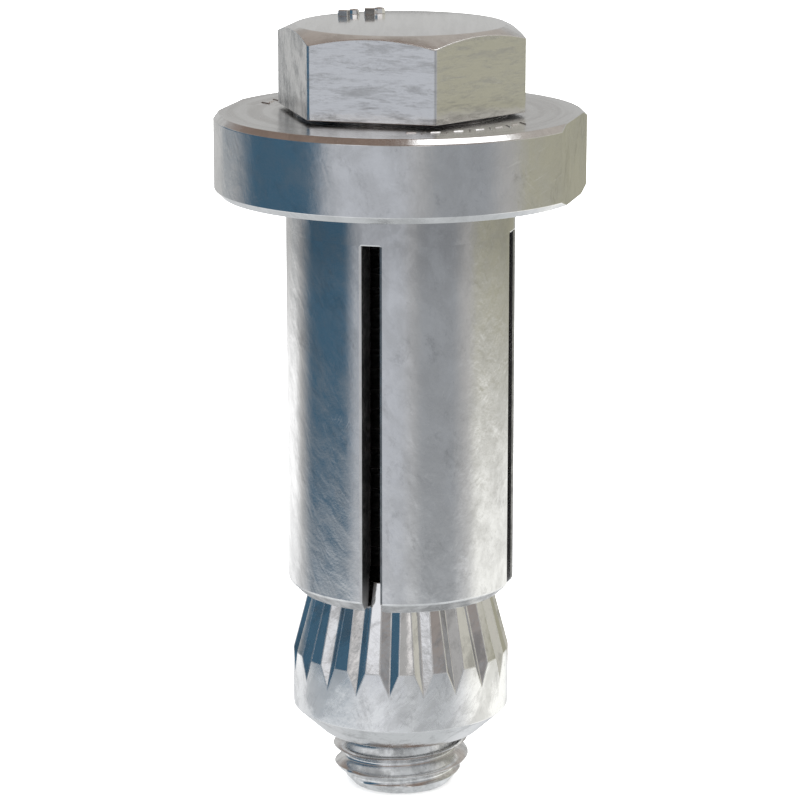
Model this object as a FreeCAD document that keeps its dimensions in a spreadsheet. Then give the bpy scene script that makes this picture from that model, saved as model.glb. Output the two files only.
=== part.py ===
import FreeCAD, Part
import Sketcher
import math
import os

# Expansion bolt for hollow sections: a hexagon set screw runs down through a collar with a slotted
# sleeve below it and into a serrated cone, which it draws up between the sleeve's four legs.
# Millimetres, +Z up along the bolt's axis. The origin is on the axis in the plane where the
# underside of the collar seats on the wall. The slots face X and Y.

# Driving dimensions
values = {
    "collarDiameter": 32.0,
    "collarHeight": 7.0,
    "collarAcrossFlats": 30.4,
    "collarTopChamfer": 0.6,
    "collarBottomChamfer": 0.8,
    "sleeveLength": 35.0,
    "sleeveEndChamfer": 0.95,
    "legWall": 2.875,
    "legClearance": 1.0,
    "legBoreAboveSeat": 1.0,
    "slotWidth": 1.6,
    "slotCount": 4,
    "slotBelowSeat": 3.0,
    "screwDiameter": 12.0,
    "screwBeyondCone": 4.9,
    "screwTipDiameter": 9.0,
    "screwTipLength": 1.7,
    "headAcrossFlats": 19.0,
    "headHeight": 7.5,
    "headFaceInset": 0.55,
    "headCornerDrop": 0.95,
    "washerFaceInset": 0.4,
    "washerFaceHeight": 0.4,
    "coneInset": 0.375,
    "coneEntry": 2.2,
    "coneTaperLength": 7.65,
    "coneRimLength": 5.15,
    "coneEndLength": 2.2,
    "coneNoseWall": 1.4,
    "coneEndWall": 1.05,
    "coneBoreChamfer": 0.4,
    "grooveCount": 20,
    "grooveDepth": 0.52,
    "grooveWidth": 1.75,
    "collarBoreClearance": 0.08,
    "coneBoreClearance": 0.05,
    "coneSeatClearance": 0.05,
}

# How far a cutting shape stands out of the material that it cuts
overrun = 1.0
fullTurn = 360.0


# A length, or an angle in degrees, with the sheet formula that gives it: one line sets both
class Measure:
    def __init__(self, value, formula):
        self.value = value
        self.formula = formula

    def join(self, other, sign, value):
        return Measure(value, f"({self.formula} {sign} {other.formula})")

    def __add__(self, other):
        return self.join(other, "+", self.value + other.value)

    def __sub__(self, other):
        return self.join(other, "-", self.value - other.value)

    def __mul__(self, other):
        return self.join(other, "*", self.value * other.value)

    def __truediv__(self, other):
        return self.join(other, "/", self.value / other.value)

    def __neg__(self):
        return Measure(-self.value, f"(-1 * {self.formula})")


def plain(number):
    return Measure(float(number), repr(float(number)))


def sine(angle):
    return Measure(math.sin(math.radians(angle.value)), f"sin({angle.formula})")


def cosine(angle):
    return Measure(math.cos(math.radians(angle.value)), f"cos({angle.formula})")


def angleOfSlope(slope):
    return Measure(math.degrees(math.atan(slope.value)), f"atan({slope.formula})")


def size(name):
    return Measure(values[name], f"Sizes.{name}")


def radius(name):
    return size(name) / plain(2)


document = FreeCAD.newDocument("ExpansionBolt")

# The sheet that drives every size
sheet = document.addObject("Spreadsheet::Sheet", "Sizes")
for row, (name, value) in enumerate(values.items(), start=1):
    sheet.set(f"A{row}", name)
    sheet.set(f"B{row}", str(value))
    sheet.setAlias(f"B{row}", name)
document.recompute()

zero = plain(0)
originPoint = (-1, 1)
horizontalAxis = -1
startOfLine = 1


def newBody(label):
    body = document.addObject("PartDesign::Body", label)
    body.Label = label
    return body


def originFeature(body, role):
    return [item for item in body.Origin.OriginFeatures if item.Role == role][0]


# A sketch on one of the body's own origin planes, raised by a height if there is one
def newSketch(body, name, plane, height=None):
    sketch = body.newObject("Sketcher::SketchObject", name)
    sketch.AttachmentSupport = [(originFeature(body, plane), "")]
    sketch.MapMode = "FlatFace"
    if height is not None:
        sketch.AttachmentOffset = FreeCAD.Placement(FreeCAD.Vector(0, 0, height.value), FreeCAD.Rotation())
        sketch.setExpression("AttachmentOffset.Base.z", height.formula)
    return sketch


# A driving dimension between two points of the sketch, bound to the sheet
def bind(sketch, kind, first, second, measure):
    index = sketch.addConstraint(Sketcher.Constraint(kind, *first, *second, measure.value))
    sketch.setExpression(f"Constraints[{index}]", measure.formula)


# Lines from corner to corner, with each corner dimensioned from the sketch's origin
def closedOutline(sketch, corners):
    points = [FreeCAD.Vector(across.value, up.value, 0) for across, up in corners]
    lines = []
    for start, end in zip(points, points[1:] + points[:1]):
        lines.append(sketch.addGeometry(Part.LineSegment(start, end), False))
    for line, following in zip(lines, lines[1:] + lines[:1]):
        sketch.addConstraint(Sketcher.Constraint("Coincident", line, 2, following, 1))
    for line, (across, up) in zip(lines, corners):
        bind(sketch, "DistanceX", originPoint, (line, startOfLine), across)
        bind(sketch, "DistanceY", originPoint, (line, startOfLine), up)


# The outline of radii and heights, turned about the body's Z axis. The turn starts at an angle to X.
def revolved(body, name, kind, corners, startAngle=0):
    sketch = newSketch(body, f"{name}Sketch", "XZ_Plane")
    if startAngle:
        heightAxis = FreeCAD.Vector(0, 1, 0)
        sketch.AttachmentOffset = FreeCAD.Placement(
            FreeCAD.Vector(0, 0, 0), FreeCAD.Rotation(heightAxis, startAngle)
        )
    closedOutline(sketch, corners)
    feature = body.newObject(f"PartDesign::{kind}", name)
    feature.Profile = sketch
    feature.ReferenceAxis = (originFeature(body, "Z_Axis"), [""])
    feature.Angle = fullTurn
    document.recompute()
    return feature


def padOrPocket(body, name, kind, sketch, length, reversed=False, bothWays=False):
    feature = body.newObject(f"PartDesign::{kind}", name)
    feature.Profile = sketch
    feature.Length = length.value
    feature.setExpression("Length", length.formula)
    feature.Reversed = reversed
    feature.Midplane = bothWays
    document.recompute()
    return feature


# Copies of a feature spaced evenly about the body's Z axis
def around(body, name, feature, count):
    pattern = body.newObject("PartDesign::PolarPattern", name)
    pattern.Originals = [feature]
    pattern.Axis = (originFeature(body, "Z_Axis"), [""])
    pattern.Angle = fullTurn
    pattern.Occurrences = int(count.value)
    pattern.setExpression("Occurrences", count.formula)
    body.Tip = pattern
    document.recompute()
    return pattern


# The screw's shank sets the bores around it, and the legs' wall stands a clearance off it
screwRadius = radius("screwDiameter")
collarBoreRadius = screwRadius + size("collarBoreClearance")
coneBoreRadius = screwRadius + size("coneBoreClearance")
legBoreRadius = screwRadius + size("legClearance")
sleeveRadius = legBoreRadius + size("legWall")
sleeveEnd = -size("sleeveLength")
collarRadius = radius("collarDiameter")
collarTop = size("collarHeight")

# The cone is a little narrower than the sleeve, so that it passes through the same hole
coneRadius = sleeveRadius - size("coneInset")
noseRadius = coneBoreRadius + size("coneNoseWall")
coneSlope = (coneRadius - noseRadius) / size("coneTaperLength")
coneLength = size("coneTaperLength") + size("coneRimLength") + size("coneEndLength")
noseHeight = sleeveEnd + size("coneEntry")

# The mouth of the sleeve is bored to the cone's own taper, one clearance off it
mouthRadius = noseRadius + coneSlope * size("coneEntry") + size("coneSeatClearance")
mouthDepth = (mouthRadius - legBoreRadius) / coneSlope

# Collar and sleeve, one turned piece. Its seam lies halfway between two slots.
collarSleeve = newBody("collar_sleeve")
seamAngle = fullTurn / 2 / values["slotCount"]
endChamfer = size("sleeveEndChamfer")
revolved(collarSleeve, "TurnedForm", "Revolution", [
    (collarBoreRadius, collarTop),
    (collarRadius - size("collarTopChamfer"), collarTop),
    (collarRadius, collarTop - size("collarTopChamfer")),
    (collarRadius, size("collarBottomChamfer")),
    (collarRadius - size("collarBottomChamfer"), zero),
    (sleeveRadius, zero),
    (sleeveRadius, sleeveEnd + endChamfer),
    (sleeveRadius - endChamfer, sleeveEnd),
    (mouthRadius, sleeveEnd),
    (legBoreRadius, sleeveEnd + mouthDepth),
    (legBoreRadius, size("legBoreAboveSeat")),
    (collarBoreRadius, size("legBoreAboveSeat")),
], seamAngle)

# Two spanner flats on the collar
flatsSketch = newSketch(collarSleeve, "FlatsSketch", "XY_Plane")
flatDistance = radius("collarAcrossFlats")
flatsReach = collarRadius + plain(overrun)
for side in (plain(1), plain(-1)):
    closedOutline(flatsSketch, [
        (side * flatDistance, -flatsReach),
        (side * flatsReach, -flatsReach),
        (side * flatsReach, flatsReach),
        (side * flatDistance, flatsReach),
    ])
flatsHeight = (collarTop + plain(overrun)) * plain(2)
padOrPocket(collarSleeve, "Flats", "Pocket", flatsSketch, flatsHeight, bothWays=True)

# One slot, sawn from the outside through to the bore, and its copies about the axis
slotSketch = newSketch(collarSleeve, "SlotSketch", "XZ_Plane")
slotSide = radius("slotWidth")
slotTop = -size("slotBelowSeat")
slotFoot = sleeveEnd - plain(overrun)
closedOutline(slotSketch, [
    (-slotSide, slotTop),
    (slotSide, slotTop),
    (slotSide, slotFoot),
    (-slotSide, slotFoot),
])
slot = padOrPocket(collarSleeve, "Slot", "Pocket", slotSketch, sleeveRadius + plain(overrun), reversed=True)
around(collarSleeve, "Slots", slot, size("slotCount"))

# Hexagon set screw, with its own origin under the head. It ends below the cone.
setScrew = newBody("set_screw")
screwEnd = noseHeight - coneLength - size("screwBeyondCone") - collarTop
halfAcrossFlats = radius("headAcrossFlats")
washerTop = size("washerFaceHeight")
washerRadius = halfAcrossFlats - size("washerFaceInset")
revolved(setScrew, "ShankAndWasherFace", "Revolution", [
    (zero, washerTop),
    (washerRadius, washerTop),
    (washerRadius, zero),
    (screwRadius, zero),
    (screwRadius, screwEnd + size("screwTipLength")),
    (radius("screwTipDiameter"), screwEnd),
    (zero, screwEnd),
])

# The hexagon, with two corners on the X axis
hexagonSides = 6
cornerValue = halfAcrossFlats.value / math.cos(math.pi / hexagonSides)
hexagonSketch = newSketch(setScrew, "HexagonSketch", "XY_Plane", washerTop)
cornerPoints = []
for index in range(hexagonSides):
    angle = 2 * math.pi * index / hexagonSides
    cornerPoints.append(FreeCAD.Vector(cornerValue * math.cos(angle), cornerValue * math.sin(angle), 0))
for start, end in zip(cornerPoints, cornerPoints[1:] + cornerPoints[:1]):
    hexagonSketch.addGeometry(Part.LineSegment(start, end), False)
cornerCircle = hexagonSketch.addGeometry(
    Part.Circle(FreeCAD.Vector(0, 0, 0), FreeCAD.Vector(0, 0, 1), cornerValue), True
)
hexagonSketch.addConstraint(Sketcher.Constraint("Coincident", cornerCircle, 3, *originPoint))
for index in range(hexagonSides):
    following = (index + 1) % hexagonSides
    hexagonSketch.addConstraint(Sketcher.Constraint("Coincident", index, 2, following, 1))
    hexagonSketch.addConstraint(Sketcher.Constraint("PointOnObject", index, 1, cornerCircle))
for index in range(1, hexagonSides):
    hexagonSketch.addConstraint(Sketcher.Constraint("Equal", 0, index))
hexagonSketch.addConstraint(Sketcher.Constraint("PointOnObject", 0, 1, horizontalAxis))
bind(hexagonSketch, "DistanceY", originPoint, (1, startOfLine), halfAcrossFlats)
padOrPocket(setScrew, "Head", "Pad", hexagonSketch, size("headHeight") - washerTop)

# The head's corners are turned down to a round top face
headTop = size("headHeight")
cornerRadius = halfAcrossFlats / cosine(plain(fullTurn / 2 / hexagonSides))
revolved(setScrew, "HeadChamfer", "Groove", [
    (halfAcrossFlats - size("headFaceInset"), headTop),
    (cornerRadius, headTop - size("headCornerDrop")),
    (cornerRadius + plain(overrun), headTop - size("headCornerDrop")),
    (cornerRadius + plain(overrun), headTop),
])
setScrew.setExpression("Placement.Base.z", collarTop.formula)

# Serrated cone, with its own origin at the nose, which stands inside the sleeve's mouth
cone = newBody("expansion_cone")
boreMouth = coneBoreRadius + size("coneBoreChamfer")
taperEnd = -size("coneTaperLength")
rimEnd = taperEnd - size("coneRimLength")
coneEnd = -coneLength
revolved(cone, "ConeForm", "Revolution", [
    (boreMouth, zero),
    (noseRadius, zero),
    (coneRadius, taperEnd),
    (coneRadius, rimEnd),
    (coneBoreRadius + size("coneEndWall"), coneEnd),
    (boreMouth, coneEnd),
    (coneBoreRadius, coneEnd + size("coneBoreChamfer")),
    (coneBoreRadius, -size("coneBoreChamfer")),
])

# A groove is a V whose root runs parallel to the taper, so it runs out on the cylinder below it.
# Its section is drawn square to the taper, one overrun above the nose, and cut down along it.
taperAngle = angleOfSlope(coneSlope)
overrunLength = plain(overrun)
sectionRadius = noseRadius - overrunLength * sine(taperAngle)
sectionHeight = overrunLength * cosine(taperAngle)
grooveSketch = newSketch(cone, "GrooveSketch", "XY_Plane")
grooveSketch.AttachmentOffset = FreeCAD.Placement(
    FreeCAD.Vector(sectionRadius.value, 0, sectionHeight.value),
    FreeCAD.Rotation(FreeCAD.Vector(0, 1, 0), -taperAngle.value),
)
grooveSketch.setExpression("AttachmentOffset.Base.x", sectionRadius.formula)
grooveSketch.setExpression("AttachmentOffset.Base.z", sectionHeight.formula)
grooveSketch.setExpression("AttachmentOffset.Rotation.Angle", (-taperAngle).formula)

# The V opens to its width at the surface and goes on widening until it stands clear of it
grooveDepth = size("grooveDepth")
grooveReach = grooveDepth * plain(3)
grooveSide = radius("grooveWidth") / grooveDepth * grooveReach
closedOutline(grooveSketch, [
    (-grooveDepth, zero),
    (grooveReach - grooveDepth, -grooveSide),
    (grooveReach - grooveDepth, grooveSide),
])
grooveRun = size("coneTaperLength") + size("coneRimLength") + overrunLength
groove = padOrPocket(cone, "Groove", "Pocket", grooveSketch, grooveRun)
around(cone, "Grooves", groove, size("grooveCount"))

# Half a pitch of turn sets a land, not a groove, in line with each slot of the sleeve
halfPitch = plain(fullTurn / 2) / size("grooveCount")
cone.Placement = FreeCAD.Placement(
    FreeCAD.Vector(0, 0, 0), FreeCAD.Rotation(FreeCAD.Vector(0, 0, 1), halfPitch.value)
)
cone.setExpression("Placement.Rotation.Angle", halfPitch.formula)
cone.setExpression("Placement.Base.z", noseHeight.formula)

document.recompute()

# Every object has to be sound before any file is written
for item in document.Objects:
    faults = {"Invalid", "Error"} & set(item.State)
    if faults:
        raise RuntimeError(f"{item.Label}: {sorted(faults)}")

os.makedirs("parts", exist_ok=True)
for body in (collarSleeve, setScrew, cone):
    shape = body.Shape
    if shape.isNull() or not shape.isValid() or len(shape.Solids) != 1:
        raise RuntimeError(f"{body.Label} isn't one valid solid")
    box = shape.BoundBox
    print(f"{body.Label}: {shape.Volume:.1f} mm3, z {box.ZMin:.2f} to {box.ZMax:.2f}, across {box.XLength:.2f}")
    shape.exportStep(f"parts/{body.Label}.step")
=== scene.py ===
import math
from functools import partial

import bmesh
import bpy
from mathutils import Matrix, Vector


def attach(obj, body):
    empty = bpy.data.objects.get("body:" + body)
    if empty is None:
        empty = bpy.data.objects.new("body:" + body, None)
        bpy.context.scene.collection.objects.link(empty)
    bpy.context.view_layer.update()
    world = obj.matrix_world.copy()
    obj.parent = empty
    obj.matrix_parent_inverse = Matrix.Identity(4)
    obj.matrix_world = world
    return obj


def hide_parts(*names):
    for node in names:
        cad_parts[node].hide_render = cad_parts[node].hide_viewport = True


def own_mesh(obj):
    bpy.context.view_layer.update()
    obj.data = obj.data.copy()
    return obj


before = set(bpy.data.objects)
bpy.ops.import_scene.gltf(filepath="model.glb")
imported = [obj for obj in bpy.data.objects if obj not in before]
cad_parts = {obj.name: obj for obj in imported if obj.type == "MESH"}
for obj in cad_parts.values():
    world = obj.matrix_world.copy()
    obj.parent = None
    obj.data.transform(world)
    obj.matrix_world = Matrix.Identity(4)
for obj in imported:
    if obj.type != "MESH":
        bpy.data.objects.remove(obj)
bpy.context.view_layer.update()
mm = 0.001  # sizes below are in millimetres, the scene is in metres
slack = 0.01  # millimetres, where places are compared
tiny = 1e-6  # against rounding, and against division by 0
print("frame loaded:", ", ".join(sorted(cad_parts)))


# nodes, for shaders and geometry alike; values are set or linked by an input's name or number
def addNode(tree, kind, values=None, **settings):
    node = tree.nodes.new(kind)
    for key, value in settings.items():
        setattr(node, key, value)
    for key, value in (values or {}).items():
        if isinstance(value, bpy.types.NodeSocket):
            tree.links.new(value, node.inputs[key])
        else:
            node.inputs[key].default_value = value
    return node


def calc(tree, operation, *values, **settings):
    kind = "ShaderNodeMath"
    return addNode(tree, kind, dict(enumerate(values)), operation=operation, **settings).outputs[0]


def vectorCalc(tree, operation, *values):
    return addNode(tree, "ShaderNodeVectorMath", dict(enumerate(values)), operation=operation).outputs[0]


def combine(tree, x=0.0, y=0.0, z=0.0):
    return addNode(tree, "ShaderNodeCombineXYZ", {"X": x, "Y": y, "Z": z}).outputs[0]


def separate(tree, vector):
    return addNode(tree, "ShaderNodeSeparateXYZ", {0: vector}).outputs


def noise(tree, place, values, output=0, **settings):
    return addNode(tree, "ShaderNodeTexNoise", {"Vector": place, **values}, **settings).outputs[output]


def newGroup(name, kind, inputs, outputs):
    # an input is given by its value, or by the kind of its socket where it has none
    tree = bpy.data.node_groups.new(name, kind)
    kinds = {float: "Float", int: "Int", tuple: "Vector"}
    for label, value in inputs.items():
        hasValue = not isinstance(value, str)
        socketKind = "NodeSocket" + (kinds[type(value)] if hasValue else value)
        socket = tree.interface.new_socket(name=label, in_out="INPUT", socket_type=socketKind)
        if hasValue:
            socket.default_value = value
    for label, value in outputs.items():
        tree.interface.new_socket(name=label, in_out="OUTPUT", socket_type="NodeSocket" + value)
    return tree, tree.nodes.new("NodeGroupInput").outputs, tree.nodes.new("NodeGroupOutput").inputs


def geometryTree(name, inputs):
    inputs = {"Geometry": "Geometry", **inputs, "Material": "Material"}
    return newGroup(name, "GeometryNodeTree", inputs, {"Geometry": "Geometry"})


def endTree(tree, geometry, given, out):  # what every geometry tree ends with
    whole = addNode(tree, "GeometryNodeRealizeInstances", {"Geometry": geometry}).outputs[0]
    dressed = addNode(tree, "GeometryNodeSetMaterial", {"Geometry": whole, "Material": given["Material"]})
    tree.links.new(dressed.outputs[0], out["Geometry"])
    return tree


def remap(tree, value, fromMin, fromMax, toMin=0.0, toMax=1.0, smooth=True):
    node = addNode(tree, "ShaderNodeMapRange", {0: value, 1: fromMin, 2: fromMax, 3: toMin, 4: toMax})
    node.interpolation_type = "SMOOTHSTEP" if smooth else "LINEAR"
    return node.outputs[0]


def mixColour(tree, factor, first, second):
    node = addNode(tree, "ShaderNodeMix", data_type="RGBA")
    for socket, value in zip((node.inputs[0], node.inputs[6], node.inputs[7]), (factor, first, second)):
        if isinstance(value, bpy.types.NodeSocket):
            tree.links.new(value, socket)
        else:
            socket.default_value = value
    return node.outputs[2]


def colour(red, green, blue):  # 0 to 255 as seen on a screen, to the linear values that Blender uses
    def linear(value):
        share = value / 255
        return share / 12.92 if share <= 0.04045 else ((share + 0.055) / 1.055) ** 2.4

    return (linear(red), linear(green), linear(blue), 1.0)


def polar(radius, angle, height):
    return Vector((radius * math.cos(angle), radius * math.sin(angle), height))


def fromAxis(point):
    return math.hypot(point.x, point.y)


def lattice(rows, closeRows=False, closeColumns=False):
    # rows of points, every row as long as the next, joined by four-sided faces
    form = bmesh.new()
    grid = [[form.verts.new(point * mm) for point in row] for row in rows]
    rowCount, columnCount = len(grid), len(grid[0])
    for r in range(rowCount if closeRows else rowCount - 1):
        for c in range(columnCount if closeColumns else columnCount - 1):
            near, far = grid[r], grid[(r + 1) % rowCount]
            beside = (c + 1) % columnCount
            form.faces.new((near[c], near[beside], far[beside], far[c]))
    return form


def tidyMesh(form, gap=0.0004):
    bmesh.ops.remove_doubles(form, verts=form.verts, dist=gap * mm)
    bmesh.ops.dissolve_degenerate(form, dist=gap * mm, edges=form.edges)
    bmesh.ops.recalc_face_normals(form, faces=form.faces)


def breakEdges(form, width, wanted, segments=2, slot=-1):
    edges = [edge for edge in form.edges if len(edge.link_faces) == 2 and wanted(edge)]
    bmesh.ops.bevel(
        form,
        geom=edges,
        offset=width * mm,
        offset_type="OFFSET",
        segments=segments,
        profile=0.5,
        affect="EDGES",
        clamp_overlap=True,
        material=slot,
    )


def paint(form, slot, wanted):
    # gives a material slot to the faces whose middle, in millimetres, and normal are wanted
    form.normal_update()
    for face in form.faces:
        if wanted(face.calc_center_median() / mm, face.normal):
            face.material_index = slot


def steeper(degrees):
    limit = math.radians(degrees)
    return lambda edge: edge.calc_face_angle(0.0) > limit


def toObject(form, name, finish=(), crease=6.0):  # finish names the look of each material slot
    mesh = bpy.data.meshes.new(name)
    form.to_mesh(mesh)
    form.free()
    for look in finish:
        mesh.materials.append(zinc[look])
    mesh.shade_smooth()
    mesh.set_sharp_from_angle(angle=math.radians(crease))
    return newObject(name, mesh)


def newObject(name, data):
    made = bpy.data.objects.new(name, data)
    bpy.context.scene.collection.objects.link(made)
    return made


def setInputs(modifier, values):
    # an input of the modifier is set by its socket's identifier
    for item in modifier.node_group.interface.items_tree:
        if item.item_type == "SOCKET" and item.in_out == "INPUT" and item.name in values:
            modifier[item.identifier] = values[item.name]


def grown(name, tree, values, seed=None):
    # runs a geometry tree and returns its result as a plain mesh
    mesh = seed or bpy.data.meshes.new(name)
    carrier = newObject(name, mesh)
    modifier = carrier.modifiers.new(name, "NODES")
    modifier.node_group = tree
    setInputs(modifier, values)
    graph = bpy.context.evaluated_depsgraph_get()
    result = bpy.data.meshes.new_from_object(carrier.evaluated_get(graph))
    bpy.data.objects.remove(carrier)
    for face in result.polygons:
        face.material_index = 0
    return result


# effects that the finishes share, each a group with named inputs
def buildWrapGroup():
    # a point's place round the axis: along the turn, up the axis, out from the axis, in metres
    tree, given, out = newGroup(
        "roundTheAxis", "ShaderNodeTree", {"Vector": "Vector", "Reach": 0.01}, {"Vector": "Vector"}
    )
    split = separate(tree, given["Vector"])
    angle = calc(tree, "ARCTAN2", split["Y"], split["X"])
    flat = vectorCalc(tree, "MULTIPLY", given["Vector"], (1, 1, 0))
    away = addNode(tree, "ShaderNodeVectorMath", {0: flat}, operation="LENGTH").outputs["Value"]
    wrapped = combine(tree, calc(tree, "MULTIPLY", angle, given["Reach"]), split["Z"], away)
    tree.links.new(wrapped, out["Vector"])
    return tree


def stretchedPlace(tree, given):
    turned = addNode(tree, "ShaderNodeMapping", {"Vector": given["Vector"], "Rotation": given["Turn"]})
    return vectorCalc(tree, "MULTIPLY", turned.outputs[0], given["Stretch"])


def buildCloudGroup():
    # cloudy plating: broad patches with ragged edges and fine speckle, 1 where it is bright
    tree, given, out = newGroup(
        "zincClouds",
        "ShaderNodeTree",
        {"Vector": "Vector", "Stretch": (1.0, 1.0, 1.0), "Turn": (0.0, 0.0, 0.0), "Patch Scale": 500.0,
         "Ragged": 0.66, "Dark Below": 0.36, "Bright Above": 0.66, "Speckle Scale": 2600.0, "Speckle": 0.8},
        {"Mask": "Float"},
    )
    place = stretchedPlace(tree, given)
    patches = noise(tree, place, {"Scale": given["Patch Scale"], "Detail": 8.0,
                                  "Roughness": given["Ragged"], "Distortion": 0.35})
    speckle = noise(tree, place, {"Scale": given["Speckle Scale"], "Detail": 3.0, "Roughness": 0.6})
    grain = calc(tree, "MULTIPLY", calc(tree, "SUBTRACT", speckle, 0.5), given["Speckle"])
    bright = remap(tree, patches, given["Dark Below"], given["Bright Above"])
    tree.links.new(calc(tree, "ADD", bright, grain, use_clamp=True), out["Mask"])
    return tree


def buildSkinGroup():
    # the uneven skin under the plating: shallow dents, drawn out along one direction, and fine grain
    tree, given, out = newGroup(
        "steelSkin",
        "ShaderNodeTree",
        {"Vector": "Vector", "Stretch": (1.0, 1.0, 1.0), "Turn": (0.0, 0.0, 0.0), "Dent Scale": 900.0,
         "Grain Scale": 4200.0, "Grain": 0.2},
        {"Height": "Float"},
    )
    dents = noise(tree, stretchedPlace(tree, given), {"Scale": given["Dent Scale"], "Detail": 2.0,
                                                      "Roughness": 0.55, "Distortion": 0.4})
    grain = noise(tree, given["Vector"], {"Scale": given["Grain Scale"], "Detail": 2.0, "Roughness": 0.6})
    tree.links.new(calc(tree, "ADD", dents, calc(tree, "MULTIPLY", grain, given["Grain"])), out["Height"])
    return tree


def buildScratchGroup():
    # hair scratches in loose patches, leaning in the plane of the first two coordinates, 1 in the scratch
    tree, given, out = newGroup(
        "hairScratches",
        "ShaderNodeTree",
        {"Vector": "Vector", "Lean": 0.0, "Length Scale": 480.0, "Width Scale": 7000.0,
         "Bend Scale": 150.0, "Bend": 0.0012, "Rarity": 0.8, "Amount": 0.3, "Amount Share": 0.3,
         "Soft Edge": 0.07, "Patch Scale": 190.0, "Patch From": 0.5, "Patch To": 0.64},
        {"Mask": "Float"},
    )
    bend = noise(tree, given["Vector"], {"Scale": given["Bend Scale"], "Detail": 1.0}, output="Color")
    bend = addNode(tree, "ShaderNodeVectorMath", {0: bend, "Scale": given["Bend"]}, operation="SCALE")
    bent = vectorCalc(tree, "ADD", given["Vector"], bend.outputs[0])
    lean = combine(tree, z=given["Lean"])
    turned = addNode(tree, "ShaderNodeMapping", {"Vector": bent, "Rotation": lean}).outputs[0]
    scales = combine(tree, given["Width Scale"], given["Length Scale"])
    fine = vectorCalc(tree, "MULTIPLY", turned, scales)
    lines = noise(tree, fine, {"Scale": 1.0, "Detail": 0.0}, noise_dimensions="2D")
    more = calc(tree, "MULTIPLY", given["Amount"], given["Amount Share"])
    level = calc(tree, "SUBTRACT", given["Rarity"], more)
    line = remap(tree, lines, level, calc(tree, "ADD", level, given["Soft Edge"]))
    patch = noise(tree, turned, {"Scale": given["Patch Scale"], "Detail": 2.0})
    patch = remap(tree, patch, given["Patch From"], given["Patch To"])
    tree.links.new(calc(tree, "MULTIPLY", line, patch), out["Mask"])
    return tree


wrapGroup = buildWrapGroup()
cloudGroup = buildCloudGroup()
skinGroup = buildSkinGroup()
scratchGroup = buildScratchGroup()


def placeGroup(tree, group, place, values=None):
    node = addNode(tree, "ShaderNodeGroup", values, node_tree=group)
    tree.links.new(place, node.inputs["Vector"])
    return node.outputs[0]


def grey(value, warmth=0.0):  # a metal's tone; warmth above 0 leans to yellow
    return (value * (1 + warmth), value, value * (1 - warmth), 1.0)


# what a finish has unless it says otherwise; clouds and skin name inputs of their groups, whose own
# values hold where one is left out, and a scratch is its lean and its amount
plainLook = {
    "turned": False,  # clouds and skin run round the axis
    "flat": False,  # scratches lie on a face across the axis
    "metallic": 1.0,
    "clouds": {},
    "skin": {},
    "skinDepth": 0.02,
    "scratches": ((1.2, 0.2), (0.1, 0.2)),
    "scratchTone": grey(0.9),
    "scratchDepth": 0.2,
    "scratchRoughness": 0.3,
    "scratchCut": 0.25,
    "paintedShadingOnBright": 0.6,
}


def zincMaterial(name, values):
    look = {**plainLook, **values}
    material = bpy.data.materials.new(name)
    material.use_nodes = True
    tree = material.node_tree
    shader = tree.nodes["Principled BSDF"]
    place = addNode(tree, "ShaderNodeTexCoord").outputs["Object"]
    wrapped = placeGroup(tree, wrapGroup, place)
    around = wrapped if look["turned"] else place
    across = place if look["flat"] else wrapped
    clouds = placeGroup(tree, cloudGroup, around, look["clouds"])
    skin = placeGroup(tree, skinGroup, around, look["skin"])
    scratches = [placeGroup(tree, scratchGroup, across, {"Lean": lean, "Amount": amount})
                 for lean, amount in look["scratches"]]
    hairs = calc(tree, "MULTIPLY", calc(tree, "MAXIMUM", *scratches), look["scratchDepth"])
    tone = mixColour(tree, clouds, look["dark"], look["light"])
    tone = mixColour(tree, hairs, tone, look["scratchTone"])
    if "smudges" in look:
        smudges = look["smudges"]
        smudged = placeGroup(tree, cloudGroup, around, smudges["pattern"])
        tone = mixColour(tree, calc(tree, "MULTIPLY", smudged, smudges["amount"]), tone, smudges["tone"])
    # painted shading: a band in height pulled towards a given grey; painted shade under the collar, painted
    # light near the sleeve's mouth
    if "paintedShading" in look:
        paintedShading = look["paintedShading"]
        inside = remap(tree, separate(tree, place)["Z"], paintedShading["from"] * mm, paintedShading["to"] * mm)
        patchy = remap(tree, clouds, 0.0, 1.0, paintedShading["amount"], paintedShading["amount"] * look["paintedShadingOnBright"])
        tone = mixColour(tree, calc(tree, "MULTIPLY", inside, patchy), tone, paintedShading["tone"])
    tree.links.new(tone, shader.inputs["Base Color"])
    polished, dull = look["roughness"]
    rough = remap(tree, clouds, 0.0, 1.0, dull, polished, smooth=False)
    rough = calc(tree, "ADD", rough, calc(tree, "MULTIPLY", hairs, look["scratchRoughness"]))
    tree.links.new(rough, shader.inputs["Roughness"])
    height = calc(tree, "SUBTRACT", skin, calc(tree, "MULTIPLY", hairs, look["scratchCut"]))
    bump = addNode(
        tree, "ShaderNodeBump", {"Strength": 1.0, "Distance": look["skinDepth"] * mm, "Height": height}
    )
    tree.links.new(bump.outputs[0], shader.inputs["Normal"])
    shader.inputs["Metallic"].default_value = look["metallic"]
    return material


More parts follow.
